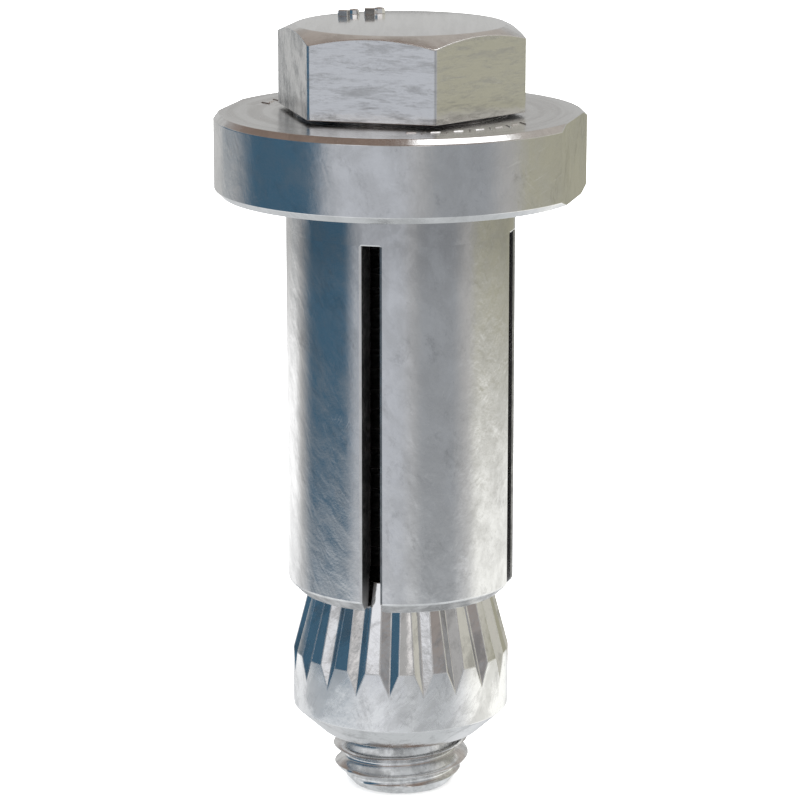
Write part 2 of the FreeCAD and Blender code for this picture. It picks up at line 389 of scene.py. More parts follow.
handMarks = {  # ragged dark smears left on the plating
    "pattern": {"Patch Scale": 210.0, "Stretch": (1.5, 1.5, 0.65), "Turn": (0.35, 0.5, 0.0), "Ragged": 0.82,
                "Dark Below": 0.52, "Bright Above": 0.68, "Speckle": 0.2},
    "tone": grey(0.4), "amount": 0.42,
}
coneLook = {
    "skin": {"Dent Scale": 760.0, "Stretch": (1.0, 1.0, 0.6), "Turn": (0.2, -0.5, 0.0), "Grain": 0.15},
    "skinDepth": 0.016, "smudges": handMarks,
    "scratches": ((0.5, 0.2), (-0.5, 0.16)), "scratchTone": grey(0.5),
}
screwLook = {
    "skin": {"Dent Scale": 620.0, "Stretch": (1.0, 1.0, 1.6)},
    "scratches": ((1.45, 0.2), (0.3, 0.1)), "scratchTone": grey(0.6), "scratchDepth": 0.15,
}
topWarmth = 0.003
finishes = {
    "zincOnSleeve": {
        "light": grey(0.88), "dark": grey(0.72), "roughness": (0.12, 0.19),
        "clouds": {"Patch Scale": 420.0, "Stretch": (1.0, 1.0, 0.6), "Turn": (0.3, 0.4, 0.0),
                   "Speckle Scale": 3200.0, "Speckle": 0.5},
        "skin": {"Dent Scale": 760.0, "Stretch": (1.0, 1.0, 0.45), "Turn": (0.25, 0.5, 0.0), "Grain": 0.15},
        "skinDepth": 0.018, "smudges": handMarks,
        "scratches": ((0.5, 0.06), (-0.4, 0.03)), "scratchTone": grey(0.96), "scratchDepth": 0.14,
        # painted shade: darker just under the collar
        "paintedShading": {"from": -8.0, "to": -2.5, "tone": grey(0.5), "amount": 0.68},
    },
    "zincOnCollar": {
        "light": grey(0.88), "dark": grey(0.74), "roughness": (0.12, 0.2),
        "clouds": {"Patch Scale": 360.0, "Stretch": (1.0, 1.0, 0.8), "Turn": (0.3, 0.2, 0.0),
                   "Speckle Scale": 3200.0, "Speckle": 0.5},
        "skin": {"Dent Scale": 760.0, "Stretch": (1.0, 1.0, 0.6), "Turn": (0.1, 0.2, 0.0), "Grain": 0.15},
        "smudges": handMarks,
        "scratches": ((1.1, 0.06), (-0.6, 0.04)), "scratchTone": grey(0.98), "scratchDepth": 0.14,
        # painted shade: the sleeve's top under the collar, below the seat, is darker
        "paintedShading": {"from": 0.05, "to": -0.05, "tone": grey(0.5), "amount": 0.68},
    },
    "zincOnScrew": {
        "light": grey(0.92), "dark": grey(0.63), "roughness": (0.14, 0.26),
        "clouds": {"Patch Scale": 620.0, "Stretch": (0.45, 0.45, 2.2), "Ragged": 0.78, "Dark Below": 0.34,
                   "Bright Above": 0.56, "Speckle Scale": 3000.0, "Speckle": 1.2},
        **screwLook,
    },
    # blotched plating, also darker as painted shade on the one side of the head it covers
    "blotchedShadedSide": {
        "light": grey(0.78), "dark": grey(0.4), "roughness": (0.16, 0.3),
        "clouds": {"Patch Scale": 420.0, "Stretch": (1.0, 1.0, 0.6), "Turn": (0.1, 0.2, 0.0), "Ragged": 0.78,
                   "Bright Above": 0.6, "Speckle Scale": 3000.0, "Speckle": 1.0},
        "skin": {"Dent Scale": 620.0, "Stretch": (1.0, 1.0, 0.7)},
        "scratches": ((0.2, 0.2), (-0.3, 0.1)), "scratchDepth": 0.15,
    },
    "zincOnThread": {
        "light": grey(0.9), "dark": grey(0.61), "roughness": (0.18, 0.29),
        "clouds": {"Patch Scale": 420.0, "Stretch": (1.0, 1.0, 0.6), "Turn": (0.1, 0.2, 0.0), "Ragged": 0.74,
                   "Dark Below": 0.38, "Bright Above": 0.58, "Speckle Scale": 3000.0},
        **screwLook,
    },
    "zincOnCone": {
        "light": grey(0.87), "dark": grey(0.61), "roughness": (0.09, 0.2),
        "clouds": {"Patch Scale": 360.0, "Stretch": (1.0, 1.0, 0.55), "Turn": (0.2, -0.6, 0.0),
                   "Dark Below": 0.34, "Bright Above": 0.5, "Speckle": 0.5},
        **coneLook,
    },
    "frostedRim": {
        "light": grey(0.99), "dark": grey(0.82), "roughness": (0.2, 0.34),
        "clouds": {"Patch Scale": 320.0, "Stretch": (1.0, 1.0, 0.5), "Turn": (0.2, -0.6, 0.0),
                   "Ragged": 0.72, "Dark Below": 0.38, "Bright Above": 0.54, "Speckle": 0.5},
        **coneLook,
    },
    "brushedTop": {
        "light": grey(0.84, topWarmth), "dark": grey(0.77, topWarmth), "roughness": (0.1, 0.15),
        "flat": True,
        "clouds": {"Stretch": (2.4, 0.2, 1.0), "Turn": (0.0, 0.0, -0.26), "Speckle Scale": 3200.0,
                   "Speckle": 0.2},
        "skin": {"Dent Scale": 700.0, "Stretch": (2.4, 0.2, 1.0), "Turn": (0.0, 0.0, -0.26), "Grain": 0.05},
        "skinDepth": 0.002, "scratches": ((0.3, 0.1), (1.2, 0.1)),
    },
    "turnedTop": {
        "light": grey(0.68, topWarmth), "dark": grey(0.6, topWarmth), "roughness": (0.18, 0.26),
        "turned": True, "flat": True,
        "clouds": {"Patch Scale": 600.0, "Stretch": (0.1, 1.0, 1.6), "Speckle Scale": 3200.0,
                   "Speckle": 0.2},
        "skin": {"Stretch": (0.1, 1.0, 1.6), "Grain": 0.05},
        "skinDepth": 0.003, "scratches": ((0.3, 0.1), (1.2, 0.1)),
    },
    # worn edges, kept brighter than the plating as a painted glint; also the painted glint on one slot lip
    # and on the bright ticks
    "wornEdgeAndGlint": {
        "light": grey(0.99), "dark": grey(0.84), "roughness": (0.28, 0.4),
        "scratchTone": grey(0.7), "scratchDepth": 0.3,
    },
    # painted shade: near-black steel laid where shade falls, on the bores, the slot walls and under the head
    "paintedShadeSteel": {
        "light": grey(0.2), "dark": grey(0.08), "roughness": (0.45, 0.6), "metallic": 0.88,
        "skin": {"Stretch": (1.0, 1.0, 3.0)}, "skinDepth": 0.03,
        "scratchTone": grey(0.2), "scratchDepth": 0.5,
        # painted light: paler towards the sleeve's mouth, where light comes in
        "paintedShading": {"from": -31.5, "to": -34.5, "tone": grey(0.5), "amount": 0.9},
    },
    "shadedThread": {
        "light": grey(0.34), "dark": grey(0.2), "roughness": (0.3, 0.4),
        "scratchTone": grey(0.2), "scratchDepth": 0.3,
    },
    "roughEnd": {
        "light": grey(0.74), "dark": grey(0.48), "roughness": (0.28, 0.4),
        "clouds": {"Patch Scale": 620.0, "Speckle": 0.9}, "scratchDepth": 0.3,
    },
    "polishedMark": {
        "light": grey(0.95), "dark": grey(0.85), "roughness": (0.08, 0.12),
        "clouds": {"Patch Scale": 900.0, "Speckle": 0.3}, "skin": {"Grain": 0.1}, "skinDepth": 0.002,
        "scratches": ((1.2, 0.1), (0.1, 0.1)), "scratchDepth": 0.1,
    },
    "shadedEdge": {
        "light": grey(0.42), "dark": grey(0.24), "roughness": (0.25, 0.35),
        "clouds": {"Patch Scale": 900.0, "Speckle": 0.6}, "skinDepth": 0.01,
        "scratches": ((1.2, 0.1), (0.1, 0.1)), "scratchTone": grey(0.5),
    },
}
zinc = {name: zincMaterial(name, look) for name, look in finishes.items()}
print("finishes made")


# hexagon head
head = {
    "acrossFlats": 19.0,
    "bottom": 7.3,
    "top": 14.5,
    "faceRadius": 8.95,
    "cornerDrop": 0.95,
    "washerRadius": 9.1,
    "washerBottom": 7.0,
    "cornerRound": 0.42,
    "flatSteps": 14,
    "cornerSteps": 8,
    "edgeBreak": 0.1,
    "sideBreak": 0.06,
    # the blotched side below is also darker, as painted shade
    "blotched": (-0.85, -0.45),  # the side whose normal is beyond these in x and y
    "slanted": (0.5, 0.99),  # the chamfer's normal is between these in z
}


def buildHead():
    half = head["acrossFlats"] / 2
    cornerRadius = half / math.cos(math.pi / 6)
    slope = head["cornerDrop"] / (cornerRadius - head["faceRadius"])
    # each corner is an arc that starts and ends where it touches the flats
    arcMiddle = (half - head["cornerRound"]) / math.cos(math.pi / 6)
    touch = math.pi / 6 - math.atan2((half - head["cornerRound"]) * math.tan(math.pi / 6), half)
    angles = []
    for corner in range(6):
        start = corner * math.pi / 3
        angles += [start - touch + 2 * touch * step / head["cornerSteps"]
                   for step in range(head["cornerSteps"])]
        angles += [start + touch + (math.pi / 3 - 2 * touch) * step / head["flatSteps"]
                   for step in range(head["flatSteps"])]

    def sideRadius(angle):  # corners on X, flats facing Y
        fromFlat = (angle % (math.pi / 3)) - math.pi / 6
        aside = math.pi / 6 - abs(fromFlat)
        if aside >= touch:
            return half / math.cos(fromFlat)
        across = arcMiddle * math.sin(aside)
        return arcMiddle * math.cos(aside) + math.sqrt(head["cornerRound"] ** 2 - across ** 2)

    def sideTop(angle):
        return head["top"] - slope * (sideRadius(angle) - head["faceRadius"])

    rows = [
        [polar(0, a, head["washerBottom"]) for a in angles],
        [polar(head["washerRadius"], a, head["washerBottom"]) for a in angles],
        [polar(head["washerRadius"], a, head["bottom"]) for a in angles],
        [polar(sideRadius(a), a, head["bottom"]) for a in angles],
        [polar(sideRadius(a), a, sideTop(a)) for a in angles],
        [polar(head["faceRadius"], a, head["top"]) for a in angles],
        [polar(0, a, head["top"]) for a in angles],
    ]
    form = lattice(rows, closeColumns=True)
    tidyMesh(form)
    paint(form, 1, lambda middle, normal: middle.z > head["top"] - slack)
    # painted shade: the head's underside and washer face get the near-black steel
    paint(form, 2, lambda middle, normal: middle.z < head["bottom"] + slack)
    beyondX, beyondY = head["blotched"]
    slantFrom, slantTo = head["slanted"]
    # painted shade: one side of the head gets the darker blotched finish
    paint(form, 4, lambda middle, normal: normal.x < beyondX and normal.y < beyondY)
    paint(form, 5, lambda middle, normal: slantFrom < normal.z < slantTo)
    turns = steeper(20)
    topEdge = (head["top"] - slack) * mm

    def roundTheSides(edge):
        return turns(edge) and min(v.co.z for v in edge.verts) < topEdge

    def roundTheFace(edge):
        return turns(edge) and min(v.co.z for v in edge.verts) > topEdge

    breakEdges(form, head["edgeBreak"], roundTheFace)
    # the sides' edge breaks get the worn edge finish with its painted glint
    breakEdges(form, head["sideBreak"], roundTheSides, slot=3)
    finish = ["zincOnScrew", "brushedTop", "paintedShadeSteel", "wornEdgeAndGlint", "blotchedShadedSide", "zincOnCollar"]
    return toObject(form, "screw_head", finish, crease=12.0)


# plain raised marks on the head's face: two pads and two rings with eight sides
marks = {
    "pads": [(-6.02, 3.57, -8.0, 0.52), (-4.18, 5.2, 15.0, 0.55)],
    "rings": [(-5.6, 5.26, 0.44, 0.4), (-3.7, 6.55, 0.5, 0.45)],
    "padHalf": (0.45, 0.32),
    "ringHole": 0.6,
    "ringSides": 8,
    "draft": 8.0,
    "sunk": 0.05,
    "edgeBreak": 0.06,
}


def buildMarks():
    low, slant = head["top"] - marks["sunk"], math.tan(math.radians(marks["draft"]))
    halfX, halfY = marks["padHalf"]
    corners = [(-halfX, -halfY), (halfX, -halfY), (halfX, halfY), (-halfX, halfY)]
    forms = []
    for number, (x, y, turn, height) in enumerate(marks["pads"]):  # each pad has a finish of its own
        spin = Matrix.Rotation(math.radians(turn), 3, "Z")
        middle = Vector((x, y, 0))
        pad = [spin @ Vector((*corner, 0)) + middle for corner in corners]
        levels = (low, low, head["top"] + height, head["top"] + height)
        forms.append(([[middle] * 4, pad, pad, [middle] * 4], levels, False, 2 + number))
    for x, y, radius, height in marks["rings"]:
        angles = [math.tau * step / marks["ringSides"] for step in range(marks["ringSides"])]
        middle = Vector((x, y, 0))
        foot = [middle + polar(radius + slant * height, a, 0) for a in angles]
        rim = [middle + polar(radius, a, 0) for a in angles]
        hole = [middle + polar(radius * marks["ringHole"], a, 0) for a in angles]
        levels = (low, low, head["top"] + height, head["top"] + height)
        forms.append(([hole, foot, rim, hole], levels, True, 1))
    whole = bmesh.new()
    for rows, levels, closed, slot in forms:
        rows = [[Vector((p.x, p.y, level)) for p in row] for row, level in zip(rows, levels)]
        form = lattice(rows, closeRows=closed, closeColumns=True)
        tidyMesh(form)
        paint(form, slot, lambda middle, normal: abs(normal.z) < 0.5)
        breakEdges(form, marks["edgeBreak"], steeper(60), slot=0)
        part = bpy.data.meshes.new("mark")
        form.to_mesh(part)
        form.free()
        whole.from_mesh(part)
        bpy.data.meshes.remove(part)
    finish = ["brushedTop", "polishedMark", "roughEnd", "shadedEdge"]
    return toObject(whole, "head_marks", finish)


# threaded shank; its sizes and the way it is wound are named as the inputs of its geometry tree
thread = {
    "sizes": {"Pitch": 1.75, "Crest Radius": 6.0, "Root Radius": 4.93, "Crest Flat": 0.12,
              "Rounding": 0.09, "Bottom": -53.0, "Top": 7.2, "Tip Radius": 4.3, "Tip Length": 1.9},
    "winding": {"Phase": 0.38, "Columns": 96, "Rows Per Turn": 14, "Turns Below": 2.0,
                "Spare Turns": 3.5},
    "weld": 0.002,
    "endRow": 0.000001,  # how near 0 or 1 along the sheet a row is taken for its first or last
    "shadedAbove": -36.0,
}


def buildThreadTree():
    # a sheet wound round the axis, its rows on the helix, its radius the thread's profile
    sizes = dict.fromkeys(thread["sizes"], mm)
    tree, given, out = geometryTree("woundThread", {**sizes, **thread["winding"], "Weld Distance": 0.000002})
    names = ("ADD", "SUBTRACT", "MULTIPLY", "DIVIDE")
    plus, minus, times, over = [partial(calc, tree, name) for name in names]
    padded = plus(minus(given["Top"], given["Bottom"]), times(given["Pitch"], given["Spare Turns"]))
    turns = calc(tree, "CEIL", over(padded, given["Pitch"]))
    rows = times(turns, given["Rows Per Turn"])
    sheet = addNode(
        tree,
        "GeometryNodeMeshGrid",
        {"Size X": 1.0, "Size Y": 1.0, "Vertices X": plus(given["Columns"], 1.0),
         "Vertices Y": plus(rows, 1.0)},
    )
    split = separate(tree, addNode(tree, "GeometryNodeInputPosition").outputs[0])
    across = plus(split["X"], 0.5)
    along = plus(split["Y"], 0.5)
    angle = times(across, math.tau)
    # the row's height on the helix, from below the bottom
    turnNumber = plus(minus(plus(times(along, turns), across), given["Turns Below"]), given["Phase"])
    raised = plus(given["Bottom"], times(turnNumber, given["Pitch"]))
    height = calc(tree, "MINIMUM", calc(tree, "MAXIMUM", raised, given["Bottom"]), given["Top"])
    # the distance from the crest, as a share of the pitch; the whole turns keep it above 0
    wholeTurns = 4.0
    above = minus(over(minus(height, given["Bottom"]), given["Pitch"]), given["Phase"])
    phase = calc(tree, "FRACT", plus(minus(above, across), wholeTurns))
    fromCrest = minus(0.5, calc(tree, "ABSOLUTE", minus(phase, 0.5)))
    axial = minus(times(fromCrest, given["Pitch"]), times(given["Crest Flat"], 0.5))
    flank = minus(given["Crest Radius"], times(axial, math.tan(math.pi / 3)))
    rounded = calc(tree, "SMOOTH_MAX", flank, given["Root Radius"], given["Rounding"])
    crested = calc(tree, "SMOOTH_MIN", rounded, given["Crest Radius"], given["Rounding"])
    chamfer = over(minus(given["Crest Radius"], given["Tip Radius"]), given["Tip Length"])
    tipLimit = plus(given["Tip Radius"], times(minus(height, given["Bottom"]), chamfer))
    # the first and last rows close the ends on the axis
    inside = calc(tree, "COMPARE", along, 0.5, 0.5 - thread["endRow"])
    radius = times(calc(tree, "MINIMUM", crested, tipLimit), inside)
    wound = combine(tree, times(radius, calc(tree, "COSINE", angle)),
                    times(radius, calc(tree, "SINE", angle)), height)
    placed = addNode(tree, "GeometryNodeSetPosition", {"Geometry": sheet.outputs[0], "Position": wound})
    merged = addNode(
        tree,
        "GeometryNodeMergeByDistance",
        {"Geometry": placed.outputs[0], "Distance": given["Weld Distance"]},
    )
    return endTree(tree, merged.outputs[0], given, out)


def buildShank():
    values = {name: size * mm for name, size in thread["sizes"].items()}
    values.update(thread["winding"])
    values.update({"Weld Distance": thread["weld"] * mm, "Material": zinc["zincOnThread"]})
    mesh = grown("screw_thread", buildThreadTree(), values)
    form = bmesh.new()
    form.from_mesh(mesh)
    tidyMesh(form)
    paint(form, 1, lambda middle, normal: middle.z > thread["shadedAbove"])
    return toObject(form, "screw_thread", ["zincOnThread", "shadedThread"], crease=40.0)


# collar, with the unslotted top of the sleeve
collar = {
    "radius": 16.0,
    "halfFlats": 15.2,
    "height": 7.0,
    "topChamfer": 0.47,
    "bottomChamfer": 0.55,
    "bore": 6.08,
    "sleeveRadius": 9.875,
    "sleeveBore": 7.0,
    "boreStep": 1.0,
    "slotTop": -3.0,
    "halfSlot": 0.8,
    "slotRim": 0.15,
    "steps": 180,
    "apart": 0.006,  # radians; a step nearer than this to a corner gives way to it
    "edgeBreak": 0.06,
    "level": 0.99,  # a face's normal is above this in z where it lies flat
    "notUp": 0.9,
    "wallDepth": 0.1,
}


def flatAngles(radius):  # where a circle of this radius meets the two flats
    if radius <= collar["halfFlats"]:
        return []
    corner = math.acos(collar["halfFlats"] / radius)
    return [corner, math.pi - corner, math.pi + corner, math.tau - corner]


def buildCollar():
    topRadius = collar["radius"] - collar["topChamfer"]
    bottomRadius = collar["radius"] - collar["bottomChamfer"]
    angles = {math.tau * step / collar["steps"] for step in range(collar["steps"])}
    halfSlot = math.asin(collar["halfSlot"] / collar["sleeveRadius"])
    slotSides = [(quarter * math.pi / 2 + side * halfSlot) % math.tau
                 for quarter in range(4) for side in (-1, 1)]
    breaks = slotSides + [a for r in (collar["radius"], topRadius, bottomRadius) for a in flatAngles(r)]
    angles = {a for a in angles if min(abs(a - b) for b in breaks) > collar["apart"]}
    angles = sorted(angles | set(breaks))

    def reach(radius, angle):  # out to this radius, or to the flat where that is nearer
        return min(radius, collar["halfFlats"] / max(abs(math.cos(angle)), tiny))

    def ring(radius, height):
        return [polar(reach(radius, a), a, height) for a in angles]

    def sideRing(radius, height, side):
        # the side's edge on a chamfer at 45 degrees that starts from this radius
        return [polar(reach(collar["radius"], a), a,
                      height + side * (reach(collar["radius"], a) - reach(radius, a))) for a in angles]

    def roundRing(radius, height):
        return [polar(radius, a, height) for a in angles]

    rows = [
        roundRing(collar["bore"], collar["height"]),
        ring(topRadius, collar["height"]),
        sideRing(topRadius, collar["height"], -1),
        sideRing(bottomRadius, 0.0, 1),
        ring(bottomRadius, 0.0),
        roundRing(collar["sleeveRadius"], 0.0),
        roundRing(collar["sleeveRadius"], collar["slotTop"]),
        roundRing(collar["sleeveBore"], collar["slotTop"]),
        roundRing(collar["sleeveBore"], collar["boreStep"]),
        roundRing(collar["bore"], collar["boreStep"]),
    ]
    form = lattice(rows, closeRows=True, closeColumns=True)
    tidyMesh(form)
    wall = collar["sleeveRadius"] - collar["wallDepth"]
    paint(form, 1, lambda middle, normal: normal.z > collar["level"])
    # painted shade: the collar's bore gets the near-black steel
    paint(form, 2, lambda middle, normal: fromAxis(middle) < wall and normal.z < collar["notUp"])
    lowest = collar["slotTop"] * mm + tiny
    turns = steeper(25)
    breakEdges(form, collar["edgeBreak"],
               lambda edge: turns(edge) and min(v.co.z for v in edge.verts) > lowest)

    def overSlot(edge):  # the round outer edge where a slot ends under it
        middle = (edge.verts[0].co + edge.verts[1].co) / 2 / mm
        aside = min(abs(middle.x), abs(middle.y)) < collar["halfSlot"]
        return fromAxis(middle) > wall and aside and max(v.co.z for v in edge.verts) < lowest

    # the rim over each slot gets the worn edge finish with its painted glint
    breakEdges(form, collar["slotRim"], overSlot, slot=3)
    finish = ["zincOnCollar", "turnedTop", "paintedShadeSteel", "wornEdgeAndGlint"]
    return toObject(form, "collar", finish)


# plain strokes stamped in two rows on the collar's upper face: bright ones along the row, with a painted
# glint, take turns with dark ones across it, with painted shade, all evenly spaced and none touching the
# next
ticks = {
    "rows": [(-71.0, 12), (160.5, 4)],  # the first stroke's angle and how many
    "step": 4.6,
    "bright": {"radius": 12.4, "lean": 90.0, "length": 0.9},
    "dark": {"radius": 12.5, "lean": 152.0, "length": 1.2},
    "width": 0.15,
    "height": 0.07,
    "sunk": 0.02,
    "slopedEnd": 0.08,
}


def buildTickTree():
    # copies of one tick on the given points, each turned and lengthened by values kept on its point
    tree, given, out = geometryTree("stampedTicks", {"Tick": "Object"})
    tick = addNode(tree, "GeometryNodeObjectInfo", {"Object": given["Tick"]})
    kept = [addNode(tree, "GeometryNodeInputNamedAttribute", {"Name": name}, data_type="FLOAT")
            for name in ("lean", "length")]
    lean, length = [node.outputs["Attribute"] for node in kept]
    copies = addNode(
        tree,
        "GeometryNodeInstanceOnPoints",
        {"Points": given["Geometry"], "Instance": tick.outputs["Geometry"],
         "Rotation": combine(tree, z=lean), "Scale": combine(tree, length, 1.0, 1.0)},
    )
    return endTree(tree, copies.outputs[0], given, out)


def buildTicks():
    halfWidth, low, ends = ticks["width"] / 2, -ticks["sunk"], 0.5 - ticks["slopedEnd"]
    foot = [(-0.5, -halfWidth), (0.5, -halfWidth), (0.5, halfWidth), (-0.5, halfWidth)]
    ridge = [(-ends, 0), (ends, 0), (ends, 0), (-ends, 0)]
    rows = [[Vector((0, 0, low))] * 4, [Vector((x, y, low)) for x, y in foot],
            [Vector((x, y, ticks["height"])) for x, y in ridge]]
    form = lattice(rows, closeColumns=True)
    tidyMesh(form)
    tick = toObject(form, "tick")
    tree = buildTickTree()
    # the bright strokes get the worn edge finish as a painted glint, the dark ones painted shade
    finish = {"bright": "wornEdgeAndGlint", "dark": "shadedEdge"}
    whole = bmesh.new()
    for slot, (kind, look) in enumerate(finish.items()):
        stroke = ticks[kind]
        angles = [math.radians(first + ticks["step"] * number)
                  for first, count in ticks["rows"] for number in range(slot, count, 2)]
        places = bpy.data.meshes.new("tickPlaces")
        points = [polar(stroke["radius"], angle, collar["height"]) * mm for angle in angles]
        places.from_pydata(points, [], [])
        leans = places.attributes.new("lean", "FLOAT", "POINT")
        leans.data.foreach_set("value", [angle + math.radians(stroke["lean"]) for angle in angles])
        lengths = places.attributes.new("length", "FLOAT", "POINT")
        lengths.data.foreach_set("value", [stroke["length"]] * len(angles))
        mesh = grown("ticks", tree, {"Tick": tick, "Material": zinc[look]}, seed=places)
        for face in mesh.polygons:
            face.material_index = slot
        whole.from_mesh(mesh)
    bpy.data.objects.remove(tick)
    return toObject(whole, "collar_ticks", finish.values())


# the sleeve's four legs
leg = {
    "outerRadius": 9.875,
    "top": -3.0,
    "bottom": -35.0,
    "endChamfer": 0.95,
    "bore": 7.0,
    "mouthRadius": 8.09,
    "mouthTop": -30.93,
    "halfSlot": 0.8,
    "lipWidth": 0.2,
    "lipDepth": 0.11,
    "steps": 36,
    "edgeBreak": 0.12,
    "endDepth": 0.1,
    "endFacing": (-0.9, -0.5),  # the end chamfer's normal is between these in z
    "lipFacing": (-0.9, -0.2),  # a lip's normal is between these, square to its slot
    "wallFacing": -0.98,
}


def buildLeg(name, turn):
    # two slot walls, a round back with a narrow chamfer along each slot, a bore that opens at the mouth
    edge = leg["bottom"] + leg["endChamfer"]
    endRadius = leg["outerRadius"] - leg["endChamfer"]
    lipped, plain = (leg["lipWidth"], leg["lipDepth"]), (0.0, 0.0)
    profile = [
        (leg["outerRadius"], leg["top"], *lipped),
        (leg["outerRadius"], edge, *lipped),
        (endRadius, leg["bottom"], *lipped),
        (leg["mouthRadius"], leg["bottom"], *plain),
        (leg["bore"], leg["mouthTop"], *plain),
        (leg["bore"], leg["top"], *plain),
    ]
    rows = []
    for radius, height, lipWidth, lipDepth in profile:
        wall = math.asin(leg["halfSlot"] / (radius - lipDepth))
        start = math.asin((leg["halfSlot"] + lipWidth) / radius)
        span = math.pi / 2 - 2 * start
        row = [polar(radius - lipDepth, wall + turn, height)]
        row += [polar(radius, start + span * step / leg["steps"] + turn, height)
                for step in range(leg["steps"] + 1)]
        row.append(polar(radius - lipDepth, math.pi / 2 - wall + turn, height))
        rows.append(row)
    form = lattice(rows, closeRows=True)
    form.verts.ensure_lookup_table()
    width = len(rows[0])
    for column in (0, width - 1):
        form.faces.new([form.verts[row * width + column] for row in range(len(profile))])
    tidyMesh(form)
    downFrom, downTo = leg["endFacing"]
    # painted shade: the bore and slot walls get the near-black steel
    paint(form, 1, lambda middle, normal: leg["bottom"] + leg["endDepth"] < middle.z
          and fromAxis(middle) < endRadius - slack)
    paint(form, 3, lambda middle, normal: middle.z < edge and downFrom < normal.z < downTo
          and fromAxis(middle) > endRadius)
    turns = steeper(12)

    def atEnd(side):
        ends = [v.co.z / mm for v in side.verts]
        return turns(side) and abs(ends[0] - ends[1]) < slack and ends[0] < edge + slack

    breakEdges(form, leg["edgeBreak"], atEnd, segments=3, slot=0)
    # the end's edge break gets the worn edge finish with its painted glint
    paint(form, 2, lambda middle, normal: abs(middle.z - edge) < leg["edgeBreak"])
    # one slot's chamfer gets the worn edge finish as a painted glint, the chamfer along the other slot gets
    # painted shade
    straight = Matrix.Rotation(-turn, 3, "Z")
    lip = leg["halfSlot"] + leg["lipWidth"]
    lipFrom, lipTo = leg["lipFacing"]

    def glintedLip(middle, normal):
        place, facing = straight @ middle, straight @ normal
        beside = place.x < lip and place.y > endRadius
        return beside and middle.z > edge and lipFrom < facing.x < lipTo

    def shadedLip(middle, normal):
        place, facing = straight @ middle, straight @ normal
        beside = place.y < lip and place.x > endRadius
        return beside and middle.z > edge and lipFrom < facing.y < lipTo

    # painted shade: one slot wall gets a shade paler than the bore's
    def startWall(middle, normal):
        place, facing = straight @ middle, straight @ normal
        return place.y < leg["halfSlot"] + slack and facing.y < leg["wallFacing"]

    # painted glint on one lip, painted shade on the other lip and on one slot wall
    paint(form, 2, glintedLip)
    paint(form, 4, shadedLip)
    paint(form, 4, startWall)
    finish = ["zincOnSleeve", "paintedShadeSteel", "wornEdgeAndGlint", "roughEnd", "shadedEdge"]
    return toObject(form, name, finish)


# serrated cone
cone = {
    "grooves": 20,
    "firstGroove": 9.0,
    "grooveDepth": 0.52,
    "grooveWidth": 1.75,
    "noseRadius": 7.45,
    "nose": -32.8,
    "rimRadius": 9.5,
    "taperEnd": -40.45,
    "rimEnd": -45.6,
    "endRadius": 7.1,
    "end": -47.8,
    "bore": 6.05,
    "boreChamfer": 0.4,
    "landSteps": 5,
    "weld": 0.002,
    "edgeBreak": 0.07,
    "upright": 0.02,  # the rim's normal is this near level
    "rimDepth": 0.1,
}


def buildSectorTree():
    # turns copies of one sector round the axis and welds them
    tree, given, out = geometryTree("ringOfSectors", {"Count": 20, "Weld Distance": 0.000001})
    points = addNode(tree, "GeometryNodePoints", {"Count": given["Count"]})
    step = calc(tree, "DIVIDE", math.tau, given["Count"])
    turn = calc(tree, "MULTIPLY", addNode(tree, "GeometryNodeInputIndex").outputs[0], step)
    copies = addNode(
        tree,
        "GeometryNodeInstanceOnPoints",
        {"Points": points.outputs[0], "Instance": given["Geometry"], "Rotation": combine(tree, z=turn)},
    )
    whole = addNode(tree, "GeometryNodeRealizeInstances", {"Geometry": copies.outputs[0]})
    welded = addNode(
        tree,
        "GeometryNodeMergeByDistance",
        {"Geometry": whole.outputs[0], "Distance": given["Weld Distance"]},
    )
    return endTree(tree, welded.outputs[0], given, out)


